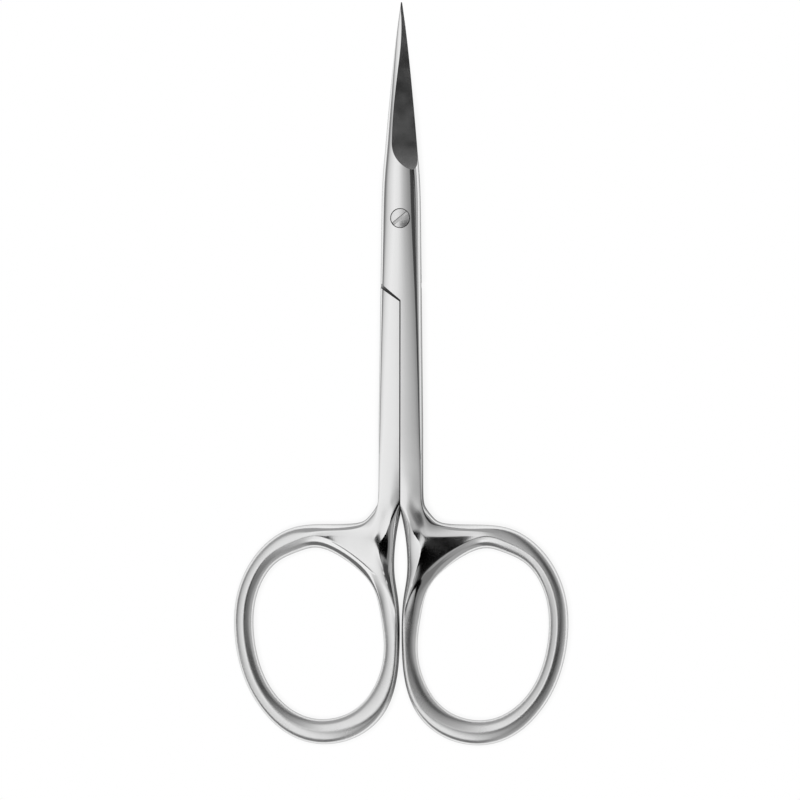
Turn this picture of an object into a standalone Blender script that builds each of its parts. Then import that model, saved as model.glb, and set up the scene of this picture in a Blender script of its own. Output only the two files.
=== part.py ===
"""Nail scissors: two forged halves, each a blade, a lap and a finger ring, on one slotted pivot screw.

The closed pair lies flat with its screw head up. +Y runs from the finger rings to the tips, +X is the
side of the upper half's ring, and the pivot axis is +Z. The pair looks the same after half a turn about
the long axis at mid thickness, so one recipe makes both halves. The upper half is modelled as it lies,
and the lower half is that shape turned over. Each half keeps its origin on the pivot axis.
"""

import math

import bmesh
import bpy
from mathutils import Matrix, Vector

MM = 0.001

# Blades, from the pivot to the tips
BLADE_LENGTH = 29.1 * MM
BLADE_ROOT_Y = 4.0 * MM
BLADE_TAPER = 0.77
BLADE_FULL_Y = 8.0 * MM
BLADE_STATIONS = (0.995, 0.955, 0.885, 0.785, 0.67, 0.55, 0.43, 0.31, 0.19)
TIP_HALF_THICKNESS = 0.2 * MM
TIP_HALF_WIDTH = 0.1 * MM

# Ground facet on the outside of each blade
GRIND_ANGLE = math.radians(21.0)
GRIND_HEEL_Y = 10.3 * MM
GRIND_WHEEL_RADIUS = 8.0 * MM
GRIND_EDGE_LAND = 0.02 * MM
GRIND_HEEL_STEPS = 8
GRIND_BLADE_STEPS = 10

# Joint and shanks of the closed pair
JOINT_WIDTH = 5.2 * MM
SHANK_WIDTH = 5.94 * MM
PAIR_THICKNESS = 3.0 * MM
JOINT_ROUNDNESS = 2.6
SHANK_ROUNDNESS = 5.0
SHANK_END_ROUNDNESS = 7.0
JOINT_TOP_Y = 1.5 * MM
JOINT_STEPS = 6
BLADE_GAP = 0.12 * MM
SPLIT_GAP = 0.16 * MM

# Step where the lap of one half ends against the shank of the other
LAP_LENGTH = 11.0 * MM
STEP_RISE = 2.0 * MM
STEP_RUN = 2.4 * MM
STEP_GAP_INSIDE = 0.18 * MM
STEP_GAP_OUTSIDE = 0.5 * MM

# Where the shanks part and curve away to the rings
FADE_START_Y = -28.0 * MM
FADE_SHAPE = 1.4
WAIST_Y = -46.6 * MM
WAIST_HALF_GAP = 0.9 * MM
MEETING_Y = -54.0 * MM
FADE_STEPS = 3
FILLET_RADIUS = 4.0 * MM
FILLET_END = math.radians(72.0)

# Web between shank and ring: places as (distance in, share of the height), from the gap and from the flank
# for the three loops down the web, and from the hole for the web's own loop
WEB_END = 0.22
WEB_GAP_SIDES = (
    ((0.4 * MM, 0.74), (0.95 * MM, 1.0), (1.7 * MM, 1.0)),
    ((0.6 * MM, 0.64), (2.1 * MM, 0.99), (3.1 * MM, 0.995)),
    ((0.9 * MM, 0.66), (3.3 * MM, 0.945), (4.9 * MM, 0.96)),
)
WEB_FLANK_SIDES = (
    ((0.12 * MM, 0.76), (0.5 * MM, 0.99)),
    ((0.3 * MM, 0.8), (1.6 * MM, 0.985)),
    ((0.5 * MM, 0.8), (2.2 * MM, 1.005)),
)
WEB_HOLE_SIDE = ((1.75 * MM, 0.88), (1.25 * MM, 0.76), (0.75 * MM, 0.57), (0.22 * MM, 0.3))
WEB_TOP_TURN = math.radians(107.0)
WEB_MIDDLE_TURN = math.radians(147.0)
WEB_SIDE_TURN = math.radians(171.0)
LEVEL_FROM = 0.9

# Finger rings
RING_CENTRE_Y = -56.0 * MM
HOLE_WIDTH = 17.5 * MM
HOLE_LENGTH = 23.0 * MM
HOLE_TOP_FULLNESS = 2.2
HOLE_BOTTOM_FULLNESS = 2.1
RING_LEAN = math.radians(8.5)
RING_THICKNESS = 2.3 * MM
RING_TOP_THICKNESS = 2.8 * MM
RING_ROUNDNESS = 2.0
RING_INNER_WALL = 2.12 * MM
RING_OUTER_WALL = 2.6 * MM
RING_END_WALL = 3.35 * MM
INNER_WALL_SPREAD = 3
OUTER_WALL_SPREAD = 4
CROWN_PLACE = 0.46
MEETING_SIDE = ((0.2 * MM, 0.8), (0.5 * MM, 1.0))
RING_GAP = 0.3 * MM

# Pivot screw and its holes
HEAD_DIAMETER = 2.46 * MM
HEAD_HEIGHT = 0.66 * MM
HEAD_DOME = 0.12 * MM
DOME_STEPS = 4
HEAD_CLEARANCE = 0.11 * MM
SHOULDER_DIAMETER = 1.9 * MM
SHOULDER_CLEARANCE = 0.05 * MM
STEM_DIAMETER = 1.6 * MM
STEM_CLEARANCE = 0.04 * MM
STEM_RECESS = 0.08 * MM
SEAT_CLEARANCE = 0.03 * MM
SLOT_WIDTH = 0.45 * MM
SLOT_DEPTH = 0.36 * MM
SLOT_ANGLE = math.radians(39.0)

# Narrow flat that the pair lies on, taken off the crown of its back
REST_FLAT_DEPTH = 0.04 * MM

# Fineness of the surfaces
SMOOTHING_LEVELS = 1
SIDE_TURNS = (math.radians(25), math.radians(60))
OUTER_TURN = math.radians(45)
HOLE_TURNS = (math.radians(23), math.radians(47), math.radians(71))
RIDGE_PLACES = (2, 10)
RING_STEPS = 14
ROUND_SIDES = 32
FIT_ROUNDS = 60
SHARP_ANGLE = math.radians(35.0)

# Finishes, each a grey tone and a roughness
POLISHED_FINISH = (0.82, 0.14)
SCREW_FINISH = (0.78, 0.24)

HALF_THICKNESS = PAIR_THICKNESS / 2
CUT_REACH = 2 * PAIR_THICKNESS


def clear_scene():
    """Take every object out of the open file."""
    for obj in list(bpy.data.objects):
        bpy.data.objects.remove(obj, do_unlink=True)


def mix(first, second, share):
    """Value that lies the given share of the way from first to second."""
    return first + (second - first) * share


def steel(name, finish):
    """Principled material of a bare stainless steel finish."""
    tone, roughness = finish
    material = bpy.data.materials.new(name)
    material.use_nodes = True
    shader = material.node_tree.nodes["Principled BSDF"]
    shader.inputs["Base Color"].default_value = (tone, tone, tone, 1.0)
    shader.inputs["Metallic"].default_value = 1.0
    shader.inputs["Roughness"].default_value = roughness
    return material


# Outline of the closed pair


def bar_half_width(y):
    """Half the width of the closed pair across blades, joint and shanks."""
    if y > BLADE_ROOT_Y:
        share = (BLADE_LENGTH - y) / (BLADE_LENGTH - BLADE_ROOT_Y)
        return max(TIP_HALF_WIDTH, JOINT_WIDTH / 2 * max(share, 0.0) ** BLADE_TAPER)
    share = min(1.0, (BLADE_ROOT_Y - y) / (BLADE_ROOT_Y - FADE_START_Y))
    return mix(JOINT_WIDTH, SHANK_WIDTH, share) / 2


def bar_half_thickness(y):
    """Half the thickness of the closed pair, thinning in a long curve to the tips."""
    if y < BLADE_FULL_Y:
        return HALF_THICKNESS
    share = min(1.0, (y - BLADE_FULL_Y) / (BLADE_LENGTH - BLADE_FULL_Y))
    return mix(TIP_HALF_THICKNESS, HALF_THICKNESS, (1 + math.cos(math.pi * share)) / 2)


def bar_roundness(y):
    """Roundness of the bar's section, from the full crown of blades and joint to the flatter shanks."""
    if y > FADE_START_Y:
        return mix(JOINT_ROUNDNESS, SHANK_ROUNDNESS, max(0.0, y / FADE_START_Y))
    share = (FADE_START_Y - y) / (FADE_START_Y - ring_top() - FILLET_RADIUS)
    return mix(SHANK_ROUNDNESS, SHANK_END_ROUNDNESS, share)


def inner_edge(y):
    """Side of the upper half that faces the other one: in to the waist of the gap, and out to the ring."""
    if y > FADE_START_Y:
        return -bar_half_width(y)
    if y > WAIST_Y:
        share = (FADE_START_Y - y) / (FADE_START_Y - WAIST_Y)
        return mix(-bar_half_width(y), WAIST_HALF_GAP, math.sin(math.pi / 2 * share) ** FADE_SHAPE)
    share = min(1.0, (WAIST_Y - y) / (WAIST_Y - MEETING_Y))
    return mix(WAIST_HALF_GAP, RING_GAP / 2, (1 - math.cos(math.pi * share)) / 2)


# Finger ring of the upper half


def ring_axes():
    """Unit directions across and along the leaning ring."""
    across = Vector((math.cos(RING_LEAN), -math.sin(RING_LEAN)))
    along = Vector((math.sin(RING_LEAN), math.cos(RING_LEAN)))
    return across, along


def hole_reach(direction, fullness):
    """How far the leaning hole reaches from its centre along a unit direction."""
    across, along = ring_axes()
    power = fullness / (fullness - 1)
    wide = abs(HOLE_WIDTH / 2 * across.dot(direction)) ** power
    long = abs(HOLE_LENGTH / 2 * along.dot(direction)) ** power
    return (wide + long) ** (1 / power)


def ring_centre():
    """Centre of the hole, so far out that the two rings just miss each other."""
    reach = hole_reach(Vector((-1, 0)), HOLE_BOTTOM_FULLNESS)
    return Vector((RING_GAP / 2 + RING_INNER_WALL + reach, RING_CENTRE_Y))


def ring_line(turn):
    """Point on the rim of the hole, the way out through the wall there, and the wall's width."""
    across, along = ring_axes()
    fullness = HOLE_TOP_FULLNESS if math.sin(turn) > 0 else HOLE_BOTTOM_FULLNESS
    wide = math.copysign(abs(math.cos(turn)) ** (2 / fullness), math.cos(turn))
    long = math.copysign(abs(math.sin(turn)) ** (2 / fullness), math.sin(turn))
    rim = ring_centre() + across * HOLE_WIDTH / 2 * wide + along * HOLE_LENGTH / 2 * long
    steep_wide = math.copysign(abs(wide) ** (fullness - 1), wide) / HOLE_WIDTH
    steep_long = math.copysign(abs(long) ** (fullness - 1), long) / HOLE_LENGTH
    way = (across * steep_wide + along * steep_long).normalized()
    if way.x > 0:
        return rim, way, mix(RING_OUTER_WALL, RING_END_WALL, abs(way.y) ** OUTER_WALL_SPREAD)
    return rim, way, mix(RING_END_WALL, RING_INNER_WALL, (1 - way.y ** 2) ** INNER_WALL_SPREAD)


def web_end():
    """How far down the inner edge the web between shank and ring reaches."""
    return mix(WAIST_Y, MEETING_Y, WEB_END)


def ring_outside(turn):
    """Point on the outside of the ring, which runs level into the fillet and along the inner edge."""
    rim, way, wall = ring_line(turn)
    flat = rim + way * wall
    if way.x < 0 and way.y > LEVEL_FROM:
        flat.y = ring_top()
    if way.x < 0 < way.y and flat.y < web_end():
        flat.x = min(flat.x, inner_edge(flat.y))
    return flat


def ring_top():
    """Highest y on the outside of the ring."""
    return RING_CENTRE_Y + hole_reach(Vector((0, 1)), HOLE_TOP_FULLNESS) + RING_END_WALL


def ring_bottom():
    """Lowest y on the outside of the ring."""
    return RING_CENTRE_Y - hole_reach(Vector((0, -1)), HOLE_BOTTOM_FULLNESS) - RING_END_WALL


def pivot_place():
    """Place of the pivot at mid thickness, with the pair centred over the origin and lying on z = 0."""
    return Vector((0, -(BLADE_LENGTH + ring_bottom()) / 2, HALF_THICKNESS - REST_FLAT_DEPTH))


# Cage of one half: loops of twelve points that the smooth surface passes through


def round_side(length, roundness, turns):
    """Places on a side that rounds off over a length, each as (distance in from the edge, share of height)."""
    power = 2 / roundness
    return [(length * (1 - math.cos(turn) ** power), math.sin(turn) ** power) for turn in turns]


def mix_places(first, last, share):
    """Places part of the way from the first ones to the last ones."""
    return [(mix(near[0], far[0], share), mix(near[1], far[1], share)) for near, far in zip(first, last)]


def section_loop(mesh, left, right, height, left_side, crown, right_side):
    """Loop of a bar from its left edge over the front to the right edge and round the back.

    The places on the left side and the crown are measured in from the left edge, the others from the right.
    """
    way = (right - left).normalized()
    front = [(left, 0)]
    front += [(left + way * distance, up) for distance, up in left_side + [crown]]
    front += [(right - way * distance, up) for distance, up in right_side[::-1]]
    loop = [mesh.verts.new((flat.x, flat.y, up * height)) for flat, up in front + [(right, 0)]]
    return loop + [mesh.verts.new((flat.x, flat.y, -up * height)) for flat, up in front[:0:-1]]


def ring_loop(mesh, turn):
    """Loop of the ring from its outside over the front to the hole and round the back."""
    rim, way, _ = ring_line(turn)
    outside = ring_outside(turn)
    width = (outside - rim).length
    crown_in = width * CROWN_PLACE
    outer_side = round_side(crown_in, RING_ROUNDNESS, [OUTER_TURN]) + [(crown_in, 1)]
    outer_side = mix_places(outer_side, MEETING_SIDE, max(0, -way.x) ** 2)
    near, middle, far = round_side(width - outer_side[-1][0], RING_ROUNDNESS, HOLE_TURNS)
    height = mix(RING_THICKNESS, RING_TOP_THICKNESS, max(0, way.y) ** 2) / 2
    return section_loop(mesh, outside, rim, height, outer_side, (width - far[0], far[1]), [near, middle])


def web_loop(mesh, turn):
    """Loop of the web from its crown to the hole, with no outside of its own, as the shank joins there."""
    rim, way, _ = ring_line(turn)
    front = [(rim + way * distance, up * RING_THICKNESS / 2) for distance, up in WEB_HOLE_SIDE]
    loop = [mesh.verts.new((flat.x, flat.y, up)) for flat, up in front + [(rim, 0)]]
    loop += [mesh.verts.new((flat.x, flat.y, -up)) for flat, up in front[::-1]]
    return [None, None] + loop + [None]


def skin(mesh, first, second):
    """Faces between two loops, left open beside a missing point."""
    count = len(first)
    for i in range(count):
        corners = (first[i], first[(i + 1) % count], second[(i + 1) % count], second[i])
        if None not in corners:
            mesh.faces.new(corners)


def cap(mesh, loop, centre):
    """Faces round a centre point that close a loop, each over two of its edges."""
    middle = mesh.verts.new(centre)
    for i in range(0, len(loop), 2):
        mesh.faces.new((loop[i], loop[i + 1], loop[(i + 2) % len(loop)], middle))


def bar_stations():
    """Places along the bar that hold its loops, from the tip to where the flank begins its fillet."""
    blade = [BLADE_LENGTH * share for share in BLADE_STATIONS]
    joint = [mix(JOINT_TOP_Y, FADE_START_Y, step / JOINT_STEPS) for step in range(JOINT_STEPS + 1)]
    fan_start = ring_top() + FILLET_RADIUS
    fade = [mix(FADE_START_Y, fan_start, step / FADE_STEPS) for step in range(1, FADE_STEPS + 1)]
    return blade + joint + fade


def fillet_point(turn):
    """Point on the round between the flank of the shank and the top of the ring."""
    centre = Vector((SHANK_WIDTH / 2 + FILLET_RADIUS, ring_top() + FILLET_RADIUS))
    return centre - Vector((math.cos(turn), math.sin(turn))) * FILLET_RADIUS


def half_cage(mesh):
    """Cage of the whole upper half, with the full width of the closed pair along blade and shank."""
    fan_start = ring_top() + FILLET_RADIUS
    loops = []
    for y in bar_stations():
        left = Vector((inner_edge(y), y))
        right = Vector((bar_half_width(y), y))
        middle = (right.x - left.x) / 2
        side = round_side(middle, bar_roundness(y), SIDE_TURNS)
        loops.append(section_loop(mesh, left, right, bar_half_thickness(y), side, (middle, 1), side))
    for step, (gap_side, flank_side) in enumerate(zip(WEB_GAP_SIDES, WEB_FLANK_SIDES), 1):
        share = step / len(WEB_GAP_SIDES)
        y = mix(fan_start, web_end(), share)
        left = Vector((inner_edge(y), y))
        right = fillet_point(FILLET_END * share)
        height = mix(PAIR_THICKNESS, RING_TOP_THICKNESS, share) / 2
        loops.append(section_loop(mesh, left, right, height, list(gap_side[:2]), gap_side[2], list(flank_side)))
    cap(mesh, loops[0], (0, BLADE_LENGTH, 0))
    for first, second in zip(loops, loops[1:]):
        skin(mesh, first, second)

    ring = []
    for step in range(RING_STEPS + 1):
        turn = mix(WEB_TOP_TURN, WEB_SIDE_TURN - 2 * math.pi, step / RING_STEPS)
        ring.append(ring_loop(mesh, turn))
    web = web_loop(mesh, WEB_MIDDLE_TURN)
    for first, second in zip(ring, ring[1:]):
        skin(mesh, first, second)
    skin(mesh, ring[-1], web)
    skin(mesh, web, ring[0])
    top, side = ring[0], ring[-1]
    mouth = side[0:3] + web[2:3] + top[2::-1] + top[:-3:-1] + web[-2:-1] + side[-2:]
    skin(mesh, loops[-1], mouth)

    crease = mesh.edges.layers.float.new("crease_edge")
    for place in RIDGE_PLACES:
        ridge = [loop[place] for loop in loops[-len(WEB_GAP_SIDES):]] + [mouth[place]]
        for first, second in zip(ridge, ridge[1:]):
            mesh.edges.get((first, second))[crease] = 1


def smooth_place(vert, crease):
    """Where the smooth surface over the cage passes nearest to one of its points, or its ridge does."""
    ridge = [edge.other_vert(vert).co for edge in vert.link_edges if edge[crease]]
    if len(ridge) == 2:
        return (vert.co * 4 + ridge[0] + ridge[1]) / 6
    count = len(vert.link_edges)
    beside = Vector()
    for edge in vert.link_edges:
        beside += edge.other_vert(vert).co
    across = Vector()
    for corner in vert.link_loops:
        across += corner.link_loop_next.link_loop_next.vert.co
    return (vert.co * count * count + 4 * beside + across) / (count * (count + 5))


def pass_through_points(mesh):
    """Push the cage out until the smooth surface passes through the points it was given."""
    crease = mesh.edges.layers.float["crease_edge"]
    wanted = [vert.co.copy() for vert in mesh.verts]
    for _ in range(FIT_ROUNDS):
        shifts = [goal - smooth_place(vert, crease) for vert, goal in zip(mesh.verts, wanted)]
        for vert, shift in zip(mesh.verts, shifts):
            vert.co += shift


# Solids and cutters


def new_object(name, mesh, material=None):
    """Object made from an edit mesh, with its faces pointing out."""
    bmesh.ops.recalc_face_normals(mesh, faces=mesh.faces)
    data = bpy.data.meshes.new(name)
    mesh.to_mesh(data)
    mesh.free()
    obj = bpy.data.objects.new(name, data)
    bpy.context.scene.collection.objects.link(obj)
    if material:
        data.materials.append(material)
    return obj


def as_cutter(obj):
    """Mark an object as a tool that only cuts others."""
    obj.hide_render = True
    obj.display_type = "WIRE"
    return obj


def prism(name, outline, low, high):
    """Upright prism over a flat outline."""
    mesh = bmesh.new()
    floor = [mesh.verts.new((point[0], point[1], low)) for point in outline]
    roof = [mesh.verts.new((point[0], point[1], high)) for point in outline]
    mesh.faces.new(floor)
    mesh.faces.new(roof)
    skin(mesh, floor, roof)
    return as_cutter(new_object(name, mesh))


def round_cutter(name, radius, low, high):
    """Upright cylinder on the pivot axis."""
    turns = [2 * math.pi * step / ROUND_SIDES for step in range(ROUND_SIDES)]
    return prism(name, [(radius * math.cos(turn), radius * math.sin(turn)) for turn in turns], low, high)


def lap_cutter(name):
    """Space of the lower half's blade and lap, below the mating face of the upper half."""
    far = SHANK_WIDTH
    inside = -LAP_LENGTH - STEP_GAP_INSIDE
    slope = (STEP_RISE + STEP_GAP_INSIDE - STEP_GAP_OUTSIDE) / STEP_RUN
    outline = [
        (SPLIT_GAP / 2, inside),
        (far, inside + slope * (far - SPLIT_GAP / 2)),
        (far, BLADE_LENGTH + far),
        (-far, BLADE_LENGTH + far),
        (-far, inside - STEP_RISE),
    ]
    return prism(name, outline, -CUT_REACH, BLADE_GAP / 2)


def split_cutter(name):
    """Space of the lower half's shank, beside the split and below the end of the upper half's lap."""
    far = SHANK_WIDTH
    outline = [
        (SPLIT_GAP / 2, -LAP_LENGTH),
        (-far, -LAP_LENGTH + STEP_RISE / STEP_RUN * (far + SPLIT_GAP / 2)),
        (-far, WAIST_Y),
        (SPLIT_GAP / 2, WAIST_Y),
    ]
    return prism(name, outline, -CUT_REACH, CUT_REACH)


def grind_height(x, y):
    """Height of the ground facet, flat from the edge and hollowed up at the heel by the wheel."""
    edge = bar_half_width(y)
    flat = BLADE_GAP / 2 + GRIND_EDGE_LAND + (edge - x) * math.tan(GRIND_ANGLE)
    past_heel = max(0.0, GRIND_HEEL_Y - y)
    return flat + past_heel ** 2 / (2 * GRIND_WHEEL_RADIUS)


def grind_cutter(name):
    """Steel that the wheel takes off the outside of the upper blade."""
    mesh = bmesh.new()
    run_out = math.sqrt(2 * GRIND_WHEEL_RADIUS * PAIR_THICKNESS)
    heel = [GRIND_HEEL_Y - run_out * (1 - step / GRIND_HEEL_STEPS) for step in range(GRIND_HEEL_STEPS)]
    steps = GRIND_BLADE_STEPS
    blade = [mix(GRIND_HEEL_Y, BLADE_LENGTH, step / steps) for step in range(steps + 1)]
    loops = []
    for y in heel + blade + [BLADE_LENGTH + TIP_HALF_WIDTH]:
        loop = []
        for x in (JOINT_WIDTH, -JOINT_WIDTH):
            loop.append(mesh.verts.new((x, y, grind_height(x, y))))
        for x in (-JOINT_WIDTH, JOINT_WIDTH):
            loop.append(mesh.verts.new((x, y, 2 * CUT_REACH)))
        loops.append(loop)
    for first, second in zip(loops, loops[1:]):
        skin(mesh, first, second)
    mesh.faces.new(loops[0])
    mesh.faces.new(loops[-1])
    return as_cutter(new_object(name, mesh))


def rest_cutter():
    """Block below the narrow flat that the pair lies on."""
    far_x = HOLE_WIDTH + SHANK_WIDTH + RING_OUTER_WALL
    low_y = 2 * RING_CENTRE_Y
    high_y = 2 * BLADE_LENGTH
    outline = [(-far_x, low_y), (far_x, low_y), (far_x, high_y), (-far_x, high_y)]
    return prism("rest_flat_cutter", outline, -CUT_REACH, -HALF_THICKNESS + REST_FLAT_DEPTH)


def crisp_edge_group():
    """Modifier that shades faces smooth across shallow edges and keeps the steeper ones crisp."""
    group = bpy.data.node_groups.new("crisp edges", "GeometryNodeTree")
    group.interface.new_socket("Geometry", in_out="INPUT", socket_type="NodeSocketGeometry")
    group.interface.new_socket("Geometry", in_out="OUTPUT", socket_type="NodeSocketGeometry")
    nodes = group.nodes
    angle = nodes.new("GeometryNodeInputMeshEdgeAngle")
    shallow = nodes.new("FunctionNodeCompare")
    shallow.operation = "LESS_THAN"
    shallow.inputs["B"].default_value = SHARP_ANGLE
    faces = nodes.new("GeometryNodeSetShadeSmooth")
    edges = nodes.new("GeometryNodeSetShadeSmooth")
    edges.domain = "EDGE"
    start = nodes.new("NodeGroupInput")
    end = nodes.new("NodeGroupOutput")
    group.links.new(start.outputs[0], faces.inputs["Geometry"])
    group.links.new(faces.outputs["Geometry"], edges.inputs["Geometry"])
    group.links.new(angle.outputs["Unsigned Angle"], shallow.inputs["A"])
    group.links.new(shallow.outputs["Result"], edges.inputs["Shade Smooth"])
    group.links.new(edges.outputs["Geometry"], end.inputs[0])
    return group


def cut(obj, cutter):
    """Take the cutter's shape out of an object."""
    step = obj.modifiers.new(cutter.name, "BOOLEAN")
    step.operation = "DIFFERENCE"
    step.object = cutter


def half(name, turned_over, material):
    """One forged half with its lap, split and ground blade, still without its hole for the screw."""
    mesh = bmesh.new()
    half_cage(mesh)
    pass_through_points(mesh)
    obj = new_object(name, mesh, material)
    smooth = obj.modifiers.new("smooth surface", "SUBSURF")
    smooth.levels = SMOOTHING_LEVELS
    smooth.render_levels = SMOOTHING_LEVELS
    smooth.use_limit_surface = True
    tools = [
        lap_cutter(name + "_lap_cutter"),
        split_cutter(name + "_split_cutter"),
        grind_cutter(name + "_grind_cutter"),
    ]
    for tool in tools:
        cut(obj, tool)
    if turned_over:
        for shape in [obj] + tools:
            shape.data.transform(Matrix.Rotation(math.pi, 4, "Y"))
    return obj


# Screw and its holes


def head_seat():
    """Height of the underside of the screw's head."""
    return HALF_THICKNESS - HEAD_DOME - HEAD_HEIGHT


def screw_profile():
    """Points of the turned screw as (radius, height), from the top of the dome to the end of the stem."""
    head = HEAD_DIAMETER / 2
    rim = HALF_THICKNESS - HEAD_DOME
    edge_break = HEAD_DOME / 2
    shoulder_end = -BLADE_GAP / 2 + SEAT_CLEARANCE
    stem_end = -HALF_THICKNESS + REST_FLAT_DEPTH + STEM_RECESS
    shares = [step / DOME_STEPS for step in range(DOME_STEPS)]
    dome = [(head * share, rim + HEAD_DOME * (1 - share ** 2)) for share in shares]
    return dome + [
        (head, rim),
        (head, head_seat() + edge_break),
        (head - edge_break, head_seat()),
        (SHOULDER_DIAMETER / 2, head_seat()),
        (SHOULDER_DIAMETER / 2, shoulder_end),
        (STEM_DIAMETER / 2, shoulder_end),
        (STEM_DIAMETER / 2, stem_end + edge_break),
        (STEM_DIAMETER / 2 - edge_break, stem_end),
        (0, stem_end),
    ]


def pivot_screw(material):
    """Slotted screw: its head and shoulder carry the upper half, its stem is fixed in the lower half."""
    mesh = bmesh.new()
    points = [mesh.verts.new((radius, 0, height)) for radius, height in screw_profile()]
    line = [mesh.edges.new(pair) for pair in zip(points, points[1:])]
    bmesh.ops.spin(
        mesh, geom=points + line, axis=(0, 0, 1), angle=2 * math.pi, steps=ROUND_SIDES, use_merge=True
    )
    bmesh.ops.remove_doubles(mesh, verts=mesh.verts, dist=0.001 * MM)
    screw = new_object("pivot_screw", mesh, material)
    reach = HEAD_DIAMETER
    half_slot = SLOT_WIDTH / 2
    outline = [(-reach, -half_slot), (reach, -half_slot), (reach, half_slot), (-reach, half_slot)]
    slot = prism("slot_cutter", outline, HALF_THICKNESS - SLOT_DEPTH, CUT_REACH)
    slot.data.transform(Matrix.Rotation(SLOT_ANGLE, 4, "Z"))
    cut(screw, slot)
    return screw


def main():
    """Build the pair closed, with the upper half turning about its own origin on the pivot axis."""
    clear_scene()
    polished = steel("polished steel", POLISHED_FINISH)
    upper = half("upper_half", False, polished)
    lower = half("lower_half", True, polished)
    screw = pivot_screw(steel("screw steel", SCREW_FINISH))

    head_radius = HEAD_DIAMETER / 2 + HEAD_CLEARANCE
    cut(upper, round_cutter("head_cutter", head_radius, head_seat() - SEAT_CLEARANCE, CUT_REACH))
    bore_radius = SHOULDER_DIAMETER / 2 + SHOULDER_CLEARANCE
    cut(upper, round_cutter("bore_cutter", bore_radius, -CUT_REACH, CUT_REACH))
    stem_hole_radius = STEM_DIAMETER / 2 + STEM_CLEARANCE
    cut(lower, round_cutter("stem_cutter", stem_hole_radius, -CUT_REACH, CUT_REACH))
    flat = rest_cutter()
    for obj in (upper, lower):
        cut(obj, flat)
    crisp = crisp_edge_group()
    for obj in (upper, lower, screw):
        obj.modifiers.new("crisp edges", "NODES").node_group = crisp
    for obj in bpy.data.objects:
        obj.location = pivot_place()


main()
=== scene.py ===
"""Look of the nail scissors: two polished halves with ground blade facets on a turned, slotted screw.

The halves are smooth surfaces made from the same sizes as the solids that they replace, then cut, and
finished in polished and ground steel. They lie on a white table inside a light tent.
"""

import math

import bmesh
import bpy
from mathutils import Matrix, Vector


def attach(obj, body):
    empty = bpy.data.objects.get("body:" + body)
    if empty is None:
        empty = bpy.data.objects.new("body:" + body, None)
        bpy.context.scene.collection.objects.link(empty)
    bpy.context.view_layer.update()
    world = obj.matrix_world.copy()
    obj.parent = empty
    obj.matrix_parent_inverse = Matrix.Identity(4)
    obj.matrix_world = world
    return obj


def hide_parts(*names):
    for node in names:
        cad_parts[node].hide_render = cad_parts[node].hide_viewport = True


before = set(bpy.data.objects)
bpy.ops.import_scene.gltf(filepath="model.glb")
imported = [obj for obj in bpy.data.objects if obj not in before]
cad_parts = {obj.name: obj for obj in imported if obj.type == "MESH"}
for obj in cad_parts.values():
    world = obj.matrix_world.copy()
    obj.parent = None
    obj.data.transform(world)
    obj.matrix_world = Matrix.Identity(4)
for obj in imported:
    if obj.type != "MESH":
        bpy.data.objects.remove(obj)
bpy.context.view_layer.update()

MM = 0.001

# Blades, from the pivot to the tips
BLADE_LENGTH = 29.1 * MM
BLADE_ROOT_Y = 4.0 * MM
BLADE_TAPER = 0.77
BLADE_FULL_Y = 8.0 * MM
BLADE_STATIONS = (0.995, 0.955, 0.885, 0.785, 0.67, 0.55, 0.43, 0.31, 0.19)
TIP_HALF_THICKNESS = 0.2 * MM
TIP_HALF_WIDTH = 0.1 * MM

# Ground facet on the outside of each blade
GRIND_ANGLE = math.radians(21.0)
GRIND_HEEL_Y = 10.3 * MM
GRIND_WHEEL_RADIUS = 8.0 * MM
GRIND_EDGE_LAND = 0.02 * MM
GRIND_HEEL_STEPS = 24
GRIND_BLADE_STEPS = 30

# Joint and shanks of the closed pair
JOINT_WIDTH = 5.2 * MM
SHANK_WIDTH = 5.94 * MM
PAIR_THICKNESS = 3.0 * MM
JOINT_ROUNDNESS = 2.6
SHANK_ROUNDNESS = 5.0
SHANK_END_ROUNDNESS = 7.0
JOINT_TOP_Y = 1.5 * MM
JOINT_STEPS = 6
BLADE_GAP = 0.12 * MM
SPLIT_GAP = 0.16 * MM

# Step where the lap of one half ends against the shank of the other
LAP_LENGTH = 11.0 * MM
STEP_RISE = 2.0 * MM
STEP_RUN = 2.4 * MM
STEP_GAP_INSIDE = 0.18 * MM
STEP_GAP_OUTSIDE = 0.5 * MM

# Where the shanks part and curve away to the rings
FADE_START_Y = -28.0 * MM
FADE_SHAPE = 1.4
WAIST_Y = -46.6 * MM
WAIST_HALF_GAP = 0.9 * MM
MEETING_Y = -54.0 * MM
FADE_STEPS = 3
FILLET_RADIUS = 4.0 * MM
FILLET_END = math.radians(72.0)

# Web between shank and ring: places as (distance in, share of the height), from the gap and from the flank
# for the three loops down the web, and from the hole for the web's own loop
WEB_END = 0.22
WEB_GAP_SIDES = (
    ((0.4 * MM, 0.74), (0.95 * MM, 1.0), (1.7 * MM, 1.0)),
    ((0.6 * MM, 0.64), (2.1 * MM, 0.99), (3.1 * MM, 0.995)),
    ((0.9 * MM, 0.66), (3.3 * MM, 0.945), (4.9 * MM, 0.96)),
)
WEB_FLANK_SIDES = (
    ((0.12 * MM, 0.76), (0.5 * MM, 0.99)),
    ((0.3 * MM, 0.8), (1.6 * MM, 0.985)),
    ((0.5 * MM, 0.8), (2.2 * MM, 1.005)),
)
WEB_HOLE_SIDE = ((1.75 * MM, 0.88), (1.25 * MM, 0.76), (0.75 * MM, 0.57), (0.22 * MM, 0.3))
WEB_TOP_TURN = math.radians(107.0)
WEB_MIDDLE_TURN = math.radians(147.0)
WEB_SIDE_TURN = math.radians(171.0)
LEVEL_FROM = 0.9

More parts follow.
